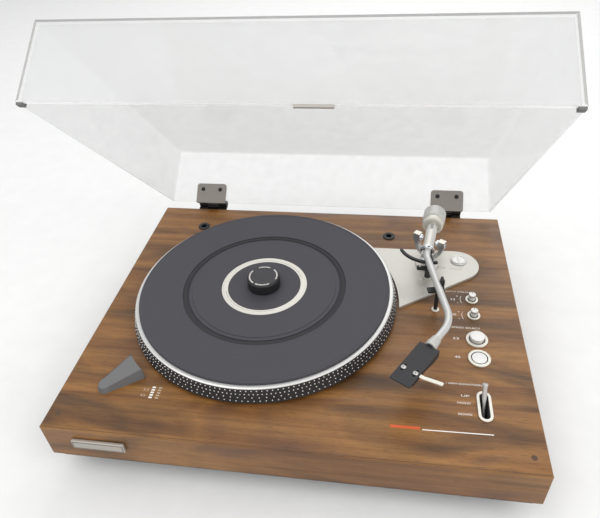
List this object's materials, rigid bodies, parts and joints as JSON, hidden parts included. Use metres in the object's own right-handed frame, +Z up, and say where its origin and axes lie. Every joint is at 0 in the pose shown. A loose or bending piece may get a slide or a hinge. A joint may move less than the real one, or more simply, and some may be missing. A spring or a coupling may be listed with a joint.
{
  "type": "turntable",
  "caption": "Belt-drive turntable with a walnut plinth, S-shaped arm, strobe-edged platter and hinged clear lid held open.",
  "frame": {"origin": "on the floor under the feet, at the middle of the object's box with the lid open", "axes": "+Z up, the front with its plate faces -Y, the arm is on the +X side"},
  "size_m": [0.47, 0.4396, 0.3974],
  "materials": {
    "adapter_45": "moulded, matt",
    "anti_skate_dial": "satin anodised",
    "arm_pillar": "polished plating",
    "arm_pivot_screw_left": "satin",
    "arm_pivot_screw_right": "satin",
    "arm_plate": "satin anodised",
    "arm_rest": "moulded, matt",
    "arm_sleeve": "polished plating",
    "arm_tube": "satin anodised",
    "arm_yoke": "polished plating",
    "bearing_housing": "turned",
    "bottom_tray": "moulded, matt",
    "button_bezel_33": "satin anodised",
    "button_bezel_45": "satin anodised",
    "cartridge": "black, satin",
    "control_board": "moulded, matt",
    "counterweight": "satin",
    "cue_lever": "polished plating",
    "cue_lift_guide": "moulded, matt",
    "cue_platform": "moulded, matt",
    "drive_belt": "matt",
    "finger_lift": "satin anodised",
    "foot_front_left": "matt",
    "foot_front_right": "matt",
    "foot_rear_left": "matt",
    "foot_rear_right": "matt",
    "force_dial": "satin anodised",
    "front_badge": "satin anodised",
    "headshell": "black, satin",
    "headshell_nut": "satin anodised",
    "hinge_bracket_left": "satin lacquer",
    "hinge_bracket_right": "satin lacquer",
    "hinge_leaf_left": "satin lacquer",
    "hinge_leaf_right": "satin lacquer",
    "lever_bezel": "satin anodised",
    "lever_bracket": "satin",
    "lid": "clear, polished",
    "mat_trim_ring": "satin anodised",
    "motor": "satin",
    "motor_pulley": "turned",
    "platter": "machined and clear-coated",
    "platter_mat": "matt",
    "plinth": "oiled walnut veneer, satin",
    "power_transformer": "satin",
    "rear_terminals": "moulded, matt",
    "speed_button_33": "satin anodised",
    "speed_button_45": "satin anodised",
    "speed_trim_knob_33": "satin anodised",
    "speed_trim_knob_45": "satin anodised",
    "spindle": "satin",
    "strobe_housing": "moulded, matt",
    "strobe_lamp": "clear",
    "stylus": "moulded, matt",
    "switch_block": "moulded, matt",
    "thrust_ball": "satin",
    "transit_bush_left": "moulded, matt",
    "transit_bush_right": "moulded, matt",
    "trim_bezel_33": "satin anodised",
    "trim_bezel_45": "satin anodised",
    "trim_potentiometers": "moulded, matt"
  },
  "bodies": {
    "cabinet": {"plinth": "plinth", "bottom_tray": "bottom_tray", "foot_front_left": "foot_front_left", "foot_front_right": "foot_front_right", "foot_rear_left": "foot_rear_left", "foot_rear_right": "foot_rear_right", "front_badge": "front_badge", "transit_bush_left": "transit_bush_left", "transit_bush_right": "transit_bush_right", "bearing_housing": "bearing_housing", "thrust_ball": "thrust_ball", "drive_belt": "drive_belt", "motor": "motor", "power_transformer": "power_transformer", "control_board": "control_board", "strobe_housing": "strobe_housing", "strobe_lamp": "strobe_lamp", "trim_bezel_33": "trim_bezel_33", "trim_bezel_45": "trim_bezel_45", "button_bezel_33": "button_bezel_33", "button_bezel_45": "button_bezel_45", "lever_bezel": "lever_bezel", "trim_potentiometers": "trim_potentiometers", "switch_block": "switch_block", "lever_bracket": "lever_bracket", "arm_plate": "arm_plate", "arm_pillar": "arm_pillar", "cue_lift_guide": "cue_lift_guide", "arm_rest": "arm_rest", "hinge_bracket_left": "hinge_bracket_left", "hinge_bracket_right": "hinge_bracket_right", "rear_terminals": "rear_terminals"},
    "turning_platter": {"platter": "platter", "platter_mat": "platter_mat", "mat_trim_ring": "mat_trim_ring", "spindle": "spindle"},
    "adapter": {"adapter_45": "adapter_45"},
    "pulley": {"motor_pulley": "motor_pulley"},
    "yoke": {"arm_yoke": "arm_yoke", "arm_pivot_screw_left": "arm_pivot_screw_left", "arm_pivot_screw_right": "arm_pivot_screw_right"},
    "arm": {"arm_sleeve": "arm_sleeve", "arm_tube": "arm_tube"},
    "weight_dial": {"force_dial": "force_dial"},
    "weight": {"counterweight": "counterweight"},
    "locking_nut": {"headshell_nut": "headshell_nut"},
    "shell": {"headshell": "headshell", "cartridge": "cartridge", "stylus": "stylus", "finger_lift": "finger_lift"},
    "anti_skate": {"anti_skate_dial": "anti_skate_dial"},
    "trim_33": {"speed_trim_knob_33": "speed_trim_knob_33"},
    "trim_45": {"speed_trim_knob_45": "speed_trim_knob_45"},
    "button_33": {"speed_button_33": "speed_button_33"},
    "button_45": {"speed_button_45": "speed_button_45"},
    "lever": {"cue_lever": "cue_lever"},
    "platform": {"cue_platform": "cue_platform"},
    "clear_lid": {"lid": "lid", "hinge_leaf_left": "hinge_leaf_left", "hinge_leaf_right": "hinge_leaf_right"}
  },
  "joints": [
    {"name": "platter_spin", "type": "hinge", "parent": "cabinet", "child": "turning_platter", "pos_m": [-0.0495, -0.02133, 0.0859], "axis": [0, 0, -1], "continuous": true},
    {"name": "adapter_lift", "type": "slide", "parent": "turning_platter", "child": "adapter", "axis": [0, 0, 1], "range_m": [0, 0.03]},
    {"name": "pulley_spin", "type": "hinge", "parent": "cabinet", "child": "pulley", "pos_m": [-0.12022, 0.04939, 0.0859], "axis": [0, 0, -1], "continuous": true},
    {"name": "arm_swing", "type": "hinge", "parent": "cabinet", "child": "yoke", "pos_m": [0.1377, 0.05677, 0.1159], "axis": [0, 0, -1], "range_deg": [0, 43]},
    {"name": "arm_tilt", "type": "hinge", "parent": "yoke", "child": "arm", "pos_m": [0.1377, 0.05677, 0.1159], "axis": [-0.8619, 0.5071, 0], "range_deg": [0, 6]},
    {"name": "weight_travel", "type": "slide", "parent": "arm", "child": "weight_dial", "axis": [0.149, 0.9888, 0], "range_m": [-0.00075, 0.009]},
    {"name": "weight_turn", "type": "hinge", "parent": "weight_dial", "child": "weight", "pos_m": [0.14485, 0.10424, 0.1159], "axis": [0.149, 0.9888, 0], "range_deg": [-90.5, 1081]},
    {"name": "nut_turn", "type": "hinge", "parent": "arm", "child": "locking_nut", "pos_m": [0.13429, -0.11196, 0.1159], "axis": [-0.5191, -0.8547, 0], "range_deg": [0, 90]},
    {"name": "shell_pull", "type": "slide", "parent": "arm", "child": "shell", "axis": [-0.5191, -0.8547, 0], "range_m": [0, 0.02]},
    {"name": "anti_skate_turn", "type": "hinge", "parent": "cabinet", "child": "anti_skate", "pos_m": [0.176, 0.06577, 0.0839], "axis": [0, 0, -1], "range_deg": [0, 270]},
    {"name": "trim_33_turn", "type": "hinge", "parent": "cabinet", "child": "trim_33", "pos_m": [0.18631, -0.00043, 0.0809], "axis": [0, 0, -1], "range_deg": [-135, 135]},
    {"name": "trim_45_turn", "type": "hinge", "parent": "cabinet", "child": "trim_45", "pos_m": [0.18631, -0.02643, 0.0809], "axis": [0, 0, -1], "range_deg": [-135, 135]},
    {"name": "button_33_press", "type": "slide", "parent": "cabinet", "child": "button_33", "axis": [0, 0, -1], "range_m": [0, 0.0045]},
    {"name": "button_45_press", "type": "slide", "parent": "cabinet", "child": "button_45", "axis": [0, 0, -1], "range_m": [-0.0045, 0]},
    {"name": "lever_turn", "type": "hinge", "parent": "cabinet", "child": "lever", "pos_m": [0.18541, -0.15643, 0.0559], "axis": [1, 0, 0], "range_deg": [0, 40]},
    {"name": "platform_drop", "type": "slide", "parent": "cabinet", "child": "platform", "axis": [0, 0, -1], "range_m": [0, 0.005]},
    {"name": "lid_turn", "type": "hinge", "parent": "cabinet", "child": "clear_lid", "pos_m": [0, 0.17467, 0.0796], "axis": [1, 0, 0], "range_deg": [0, 45.77]}
  ],
  "couplings": [
    {"joint": "pulley_spin", "follows": "platter_spin", "ratio": 12.502},
    {"joint": "weight_turn", "follows": "weight_travel", "rad_per_m": 2094.4},
    {"joint": "button_45_press", "follows": "button_33_press", "ratio": -1},
    {"joint": "platform_drop", "follows": "lever_turn", "m_per_rad": 0.0071605}
  ]
}
